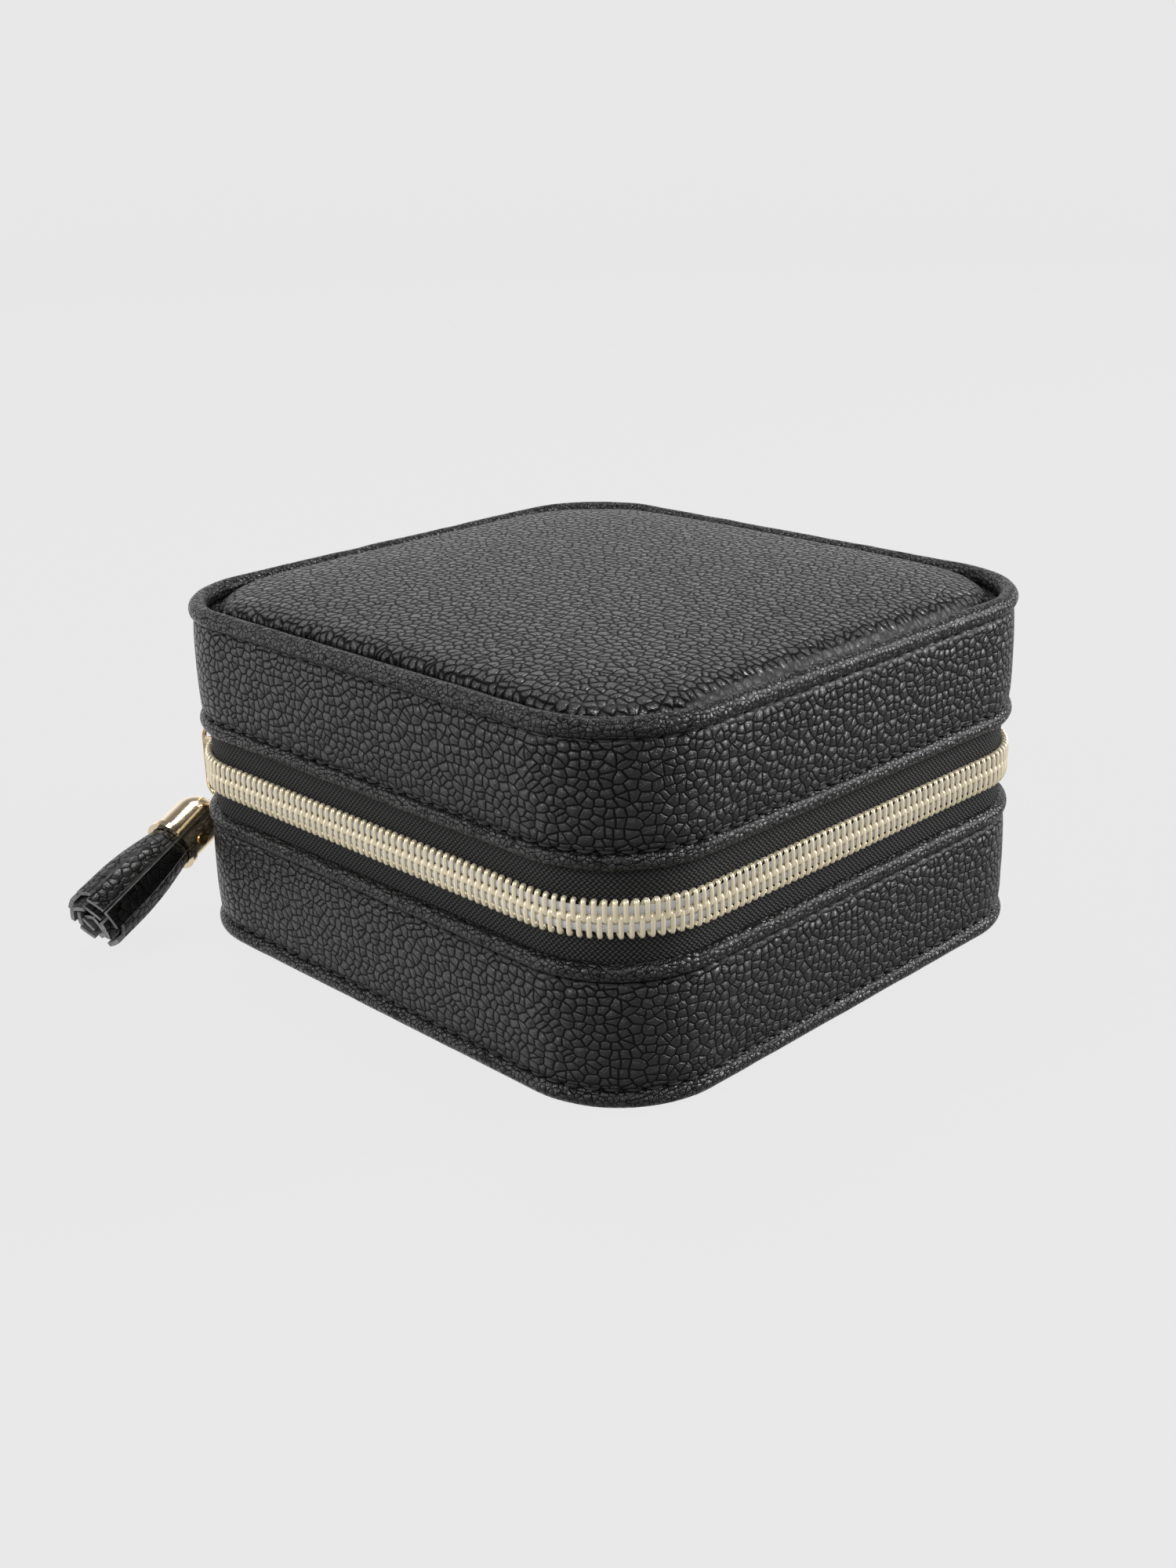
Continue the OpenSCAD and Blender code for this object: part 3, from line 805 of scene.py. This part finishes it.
def tape_profile(near, far, side):
    """A flat strip of tape with a slightly thicker selvedge under the coil."""
    depth = -TAPE_DEPTH - 0.06
    back = depth - 0.55
    ripple = 0.03
    face = [(back, near), (depth - 0.04, near), (depth, near + side * 0.4)]
    face += [(depth - ripple * (part % 2), near + side * part) for part in range(1, 8)]
    return face + [(depth - 0.02, far), (back, far)]


def make_tape(name, near, far, side, body, node, start, end):
    heap = sweep(tape_profile(near, far, side), start, end, waver=0.03, seed=far)
    tape = heap.piece(name, TAPE, body, "zip_tape")
    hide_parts(node)


# ---------------------------------------------------------------- hinge strip and mirror seam


def round_frame(half_x, half_y, corner):
    """A closed line round a rectangle with rounded corners."""
    turn = np.linspace(0.0, math.pi / 2, 8)
    line = []
    for quarter, (x, y) in enumerate(((1, 1), (-1, 1), (-1, -1), (1, -1))):
        centre = np.array((x * (half_x - corner), y * (half_y - corner)))
        angle = turn + quarter * math.pi / 2
        line.append(centre + corner * np.column_stack((np.cos(angle), np.sin(angle))))
    line = np.concatenate(line)
    return np.vstack((line, line[:1]))


def make_frame_stitches():
    """The seam round the face of the mirror's frame, which looks down when the lid is shut."""
    low, high = box_mm("mirror_frame")
    inset = 1.2
    line = round_frame(high.x - inset, high.y - inset, 2.0)
    heap = Heap()
    stitch_line(heap, np.column_stack((line, np.full(len(line), low.z))), -UP)
    heap.piece("mirror_frame_stitches", THREAD, "lid", "leather")


def make_hinge():
    """One strip of leather over the back seam, from the foot of the lower hinge strip to the top of the
    upper one.
    """
    low, high = box_mm("hinge_strip_lower")
    top = box_mm("hinge_strip_upper")[1].z
    corner = 4.0
    rim = 0.5
    seam_inset = 1.7
    across = 41
    rows = []
    for level in np.linspace(low.z, top, 73):
        near = min(level - low.z, top - level)
        inset = corner - math.sqrt(corner ** 2 - max(0.0, corner - near) ** 2)
        half = high.x - inset
        x = np.linspace(-half, half, across)
        edge = np.clip((np.abs(x) - half + rim) / rim, 0.0, 1.0)
        edge = np.maximum(edge, max(0.0, 1 - near / rim))
        outer = high.y - rim * (1 - np.sqrt(1 - edge ** 2))
        face = np.column_stack((x, outer, np.full(across, level)))
        back = np.column_stack((x[::-1], np.full(across, low.y), np.full(across, level)))
        rows.append(np.vstack((face, back)))
    cols = 2 * across
    faces = grid_faces(len(rows), cols, wrap_cols=True) + end_faces(len(rows), cols)
    verts = np.concatenate(rows)
    uvs = [[(verts[i][0], verts[i][2]) for i in face] for face in faces]
    strip = make_piece("hinge_strip", verts, faces, LEATHER, uvs)
    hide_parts("hinge_strip_lower", "hinge_strip_upper")
    middle = (low.z + top) / 2
    line = round_frame(high.x - seam_inset, (top - low.z) / 2 - seam_inset, corner - seam_inset)
    heap = Heap()
    points = np.column_stack((line[:, 0], np.full(len(line), high.y), middle + line[:, 1]))
    stitch_line(heap, points, (0.0, 1.0, 0.0))
    seam = heap.piece("hinge_strip_stitches", THREAD, slot="leather")
    for part in (strip, seam):
        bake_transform(part)


# ---------------------------------------------------------------- padded pieces


PUFF_SCALE = 8.0  # the cloth is blown up at this many times its size, as the solver suits large things
PUFF_FRAMES = 20


def puff(obj, voxel, pressure, cap):
    """Blows a closed form up as cloth, by at most cap millimetres, and leaves it smooth and closed."""
    remesh = obj.modifiers.new("remesh", "REMESH")
    remesh.mode = "VOXEL"
    remesh.voxel_size = voxel * MM
    apply_all(obj)
    rest = read_points(obj)
    write_points(obj, rest * PUFF_SCALE)
    cloth = obj.modifiers.new("cloth", "CLOTH")
    cloth.settings.use_pressure = True
    cloth.settings.uniform_pressure_force = pressure
    cloth.settings.effector_weights.gravity = 0.0
    cloth.settings.mass = 0.15
    cloth.settings.quality = 5
    cloth.point_cache.frame_end = PUFF_FRAMES
    for step in range(1, PUFF_FRAMES + 1):
        bpy.context.scene.frame_set(step)
    apply_all(obj)
    bpy.context.scene.frame_set(1)
    moved = read_points(obj) / PUFF_SCALE - rest
    far = np.linalg.norm(moved, axis=1, keepdims=True)
    moved *= np.minimum(1.0, cap * MM / np.maximum(far, TINY))
    write_points(obj, rest + moved)
    subdivide = obj.modifiers.new("subdivide", "SUBSURF")
    subdivide.levels = 1
    apply_all(obj)
    smooth(obj, 60)


def read_points(obj):
    points = np.empty(len(obj.data.vertices) * 3)
    obj.data.vertices.foreach_get("co", points)
    return points.reshape(-1, 3)


def write_points(obj, points):
    obj.data.vertices.foreach_set("co", points.astype(np.float32).ravel())
    obj.data.update()


def apply_all(obj):
    """Turns the result of obj's modifiers into its own mesh."""
    shown = obj.evaluated_get(bpy.context.evaluated_depsgraph_get())
    mesh = bpy.data.meshes.new_from_object(shown)
    obj.modifiers.clear()
    old = obj.data
    obj.data = mesh
    bpy.data.meshes.remove(old)


def make_lid_pad():
    """The padded top: a shoulder rising out of the rim to a crowned leather field."""
    low, high = box_mm("lid_top_cover")
    inset = HALF_W - high.x
    crown = 0.9
    shoulder = 2.8
    corner_drop = 2.6
    swell = 0.4
    foot_z = low.z + 0.2
    foot_share = 0.992
    edge_z = low.z + 0.5
    brim_z = high.z - crown
    place, normal = track(stations(0.0, None, OUTLINE_STEP))
    ring = place - normal * (inset - swell)
    # Rings from the edge to near the middle, close together over the shoulder.
    shares = [1.0, 0.992, 0.98, 0.965, 0.945, 0.92, 0.88] + list(np.arange(0.82, 0.03, -0.06))
    rows = [np.column_stack((ring * foot_share, np.full(len(ring), foot_z)))]
    for share in shares:
        part = min(1.0, (1 - share) * high.x / shoulder)
        rise = math.sqrt(1 - (1 - part) ** 2)
        flat = ring * share
        x, y = flat[:, 0] / high.x, flat[:, 1] / high.y
        dome = crown * (1 - x ** 2) * (1 - y ** 2) - corner_drop * (x * y) ** 4
        rows.append(np.column_stack((flat, edge_z + rise * (brim_z - edge_z + dome))))
    faces = grid_faces(len(rows), len(ring), wrap_cols=True) + end_faces(len(rows), len(ring))
    pad = make_piece("lid_pad", np.concatenate(rows), faces, LEATHER_TOP)
    puff(pad, voxel=1.7, pressure=4.0, cap=0.6)
    settle(pad, "lid")
    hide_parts("lid_top_cover", "lid_foam_pad")


def make_roll(node, seed):
    """A stuffed velvet roll, squarish in section, drawn in at its ends."""
    low, high = (np.array(corner) for corner in box_mm(node))
    centre = (low + high) / 2
    room = np.array((0.0, 0.12, 0.1))
    half = (high - low) / 2 - room
    sides = 28
    # Sections are close together at the ends, which draw in over the last part of the length.
    spots = np.concatenate((np.linspace(-1.0, -0.9, 7), np.linspace(-0.86, 0.86, 44),
                            np.linspace(0.9, 1.0, 7)))
    draw_from, draw_over, draw_in = 0.93, 0.07, 0.85
    lumps, lump_rate = 0.03, 9.0
    square = 0.8
    turn = np.arange(sides) * 2 * math.pi / sides
    rows = []
    for spot in spots:
        draw = max(0.0, (abs(spot) - draw_from) / draw_over)
        size = math.sqrt(max(0.0, 1 - draw_in * draw ** 2))
        size *= 1 + lumps * noise.noise(Vector((spot * lump_rate, seed, 0.0)))
        y = half[1] * size * signed_power(np.cos(turn), square)
        z = half[2] * size * signed_power(np.sin(turn), square)
        rows.append(np.column_stack((np.full(sides, spot * half[0]), y, z)) + centre)
    faces = grid_faces(len(rows), sides, wrap_cols=True) + end_faces(len(rows), sides)
    roll = make_piece(node + "_cushion", np.concatenate(rows), faces, VELVET)
    puff(roll, voxel=1.1, pressure=3.0, cap=0.25)
    settle(roll, "base")
    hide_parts(node)


# ---------------------------------------------------------------- tassel


def node_points(node):
    """A CAD node's vertices in the shared frame, in millimetres."""
    bpy.context.view_layer.update()
    obj = frame["nodes"][node]
    return np.array([obj.matrix_world @ vertex.co for vertex in obj.data.vertices]) / MM


def tassel_frame():
    """Where the tassel hangs: its eye, its axis, the sideways normal and the lift at right angles."""
    eye, outwards = joint_point("tassel_sway")
    middle = node_points("tassel_fringe").mean(axis=0) - eye
    axis = middle - (middle @ outwards) * outwards
    axis /= np.linalg.norm(axis)
    return eye, axis, outwards, np.cross(outwards, axis)


def reach_of(node, eye, axis):
    """How far along the axis a node ends, and its greatest radius."""
    arm = node_points(node) - eye
    along = arm @ axis
    return along.max(), np.linalg.norm(arm - along[:, None] * axis, axis=1).max()


def make_fringe():
    """Strips gathered in the cap: an outer ring, and narrower rings inside it that show their suede."""
    place = tassel_frame()
    cap_end, lip_r = reach_of("tassel_cap", *place[:2])
    tip, tip_r = reach_of("tassel_fringe", *place[:2])
    neck_r = lip_r - 1.15
    start = cap_end - 1.2
    heap = Heap()
    random.seed(7)
    # Each layer: strips, share of the radius, width, turn in strips, and how much shorter it is.
    layers = ((9, 1.0, 3.3, 0.0, 1.5), (7, 0.80, 3.3, 0.45, 0.2), (5, 0.56, 3.0, 0.2, 0.5),
              (3, 0.28, 2.6, 0.7, 0.9))
    for count, share, width, shift, short in layers:
        radii = (share * neck_r, share * tip_r)
        for i in range(count):
            angle = 2 * math.pi * (i + shift) / count + random.uniform(-0.04, 0.04)
            reach = tip - short - random.choice((0.0, 1.3, 0.4, 2.2))
            sway = random.uniform(-0.3, 0.3)
            add_strip(heap, place, angle, radii, width, start, reach, sway)
    fringe = heap.piece("tassel_fringe_strips", [LEATHER_FRINGE, SUEDE, CUT_EDGE], "tassel",
                        "fringe_leather", sharp=35)
    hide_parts("tassel_fringe", "tassel_core")


def add_strip(heap, place, angle, radii, width, start, reach, sway):
    """One strip of the fringe: pebbled outside, suede inside, pale cut edges."""
    eye, axis, outwards, lift = place
    thick = 0.75
    bulge = 0.12
    spread_from, spread_rate = 0.05, 1.45
    rows = 17
    along = np.linspace(start, reach, rows)
    part = (along - start) / (reach - start)
    spoke = math.cos(angle) * outwards + math.sin(angle) * lift
    tangent = -math.sin(angle) * outwards + math.cos(angle) * lift
    spread = np.sin(math.pi / 2 * np.clip((part - spread_from) * spread_rate, 0.0, 1.0))
    full = radii[0] + (radii[1] - radii[0]) * spread
    across = np.linspace(-0.5, 0.5, 5)
    half = width * full / radii[1]
    bow = bulge * (1 - (2 * across) ** 2) - bulge
    centre = eye + axis * along[:, None] + spoke * full[:, None] + tangent * (sway * part ** 2)[:, None]
    outer = centre[:, None] + tangent * (half[:, None] * across)[:, :, None] + spoke * bow[None, :, None]
    inner = outer - spoke * thick
    cols = len(across)
    faces = grid_faces(rows, cols)
    heap.add(outer.reshape(-1, 3), faces, None, 0)
    heap.add(inner.reshape(-1, 3), faces, None, 1)
    for edge in (0, cols - 1):
        rim = np.stack((outer[:, edge], inner[:, edge]), 1).reshape(-1, 3)
        heap.add(rim, grid_faces(rows, 2), None, 2)
    for row in (0, rows - 1):
        rim = np.stack((outer[row], inner[row]), 1).reshape(-1, 3)
        heap.add(rim, grid_faces(cols, 2), None, 2)


# ---------------------------------------------------------------- the rest of the CAD nodes


def dress(nodes, material, bevel=0.0):
    """Gives CAD nodes that keep their shape a material, and softens their edges."""
    for name in nodes:
        obj = frame["nodes"][name]
        obj.data.materials.clear()
        obj.data.materials.append(material)
        if bevel:
            soften = obj.modifiers.new("soften", "BEVEL")
            soften.width = bevel * MM
            soften.segments = 2
            soften.limit_method = "ANGLE"
            soften.angle_limit = math.radians(50)


# ---------------------------------------------------------------- assembly

make_camera()
make_stage()
make_light()

make_band("base_band", "base_leather_band", "base")
make_band("lid_band", "lid_leather_band", "lid")
make_bead("base_bottom_bead", "base_bottom_piping", "base")
make_bead("base_top_bead", "base_top_piping", "base")
make_bead("lid_bottom_bead", "lid_bottom_piping", "lid")
make_rim("lid_rim_bead", "lid_top_piping", "lid")
make_gutter()

SEAM_INSET = 0.15
for body in ("base", "lid"):
    band_low, band_high = box_mm(body + "_leather_band")
    make_stitches(body + "_lower_stitches", band_low.z + SEAM_INSET, body)
    make_stitches(body + "_upper_stitches", band_high.z - SEAM_INSET, body)

tape_low, tape_high = box_mm("zip_tape_lower"), box_mm("zip_tape_upper")
make_tape("zip_tape_base", tape_low[1].z, tape_low[0].z, -1, "base", "zip_tape_lower",
          TAPE_START, TAPE_END)
make_tape("zip_tape_lid", tape_high[0].z, tape_high[1].z, 1, "lid", "zip_tape_upper",
          SHUT_S, TAPE_END)
make_tape("zip_tape_shut", tape_high[0].z, tape_high[1].z, 1, "lid", "zip_tape_end",
          TAPE_START, SHUT_S)
make_coil("zip_coil_base", -1, 0.0, COIL_START, COIL_END, "base", "zip_coil_lower")
make_coil("zip_coil_lid", 1, 0.5, SHUT_S, COIL_END, "lid", "zip_coil_upper")
make_coil("zip_coil_shut", 1, 0.5, COIL_START, SHUT_S, "base", "zip_coil_end")
make_hinge()

make_lid_pad()
for number in range(1, 6):
    make_roll(f"ring_roll_{number}", 3.7 * number)
make_fringe()

make_frame_stitches()

dress(("slider_body", "slider_bail", "pull_ring"), GOLD, 0.2)
dress(("tassel_cap",), GOLD)
dress(("tassel_cap_screw",), BRASS, 0.1)
dress(("base_wall_board", "base_bottom_board", "lid_wall_board", "lid_top_board"), BOARD)
dress(("base_bottom_cover", "mirror_frame"), LEATHER_EDGE, 0.25)
dress(("divider_long", "divider_left", "divider_right"), VELVET, 0.5)
dress(("base_wall_lining", "base_floor_lining", "lid_wall_lining", "lid_panel_lining"),
      VELVET, 0.15)
dress(("ring_pad_base",), VELVET, 1.0)
dress(("mirror",), MIRROR, 0.3)
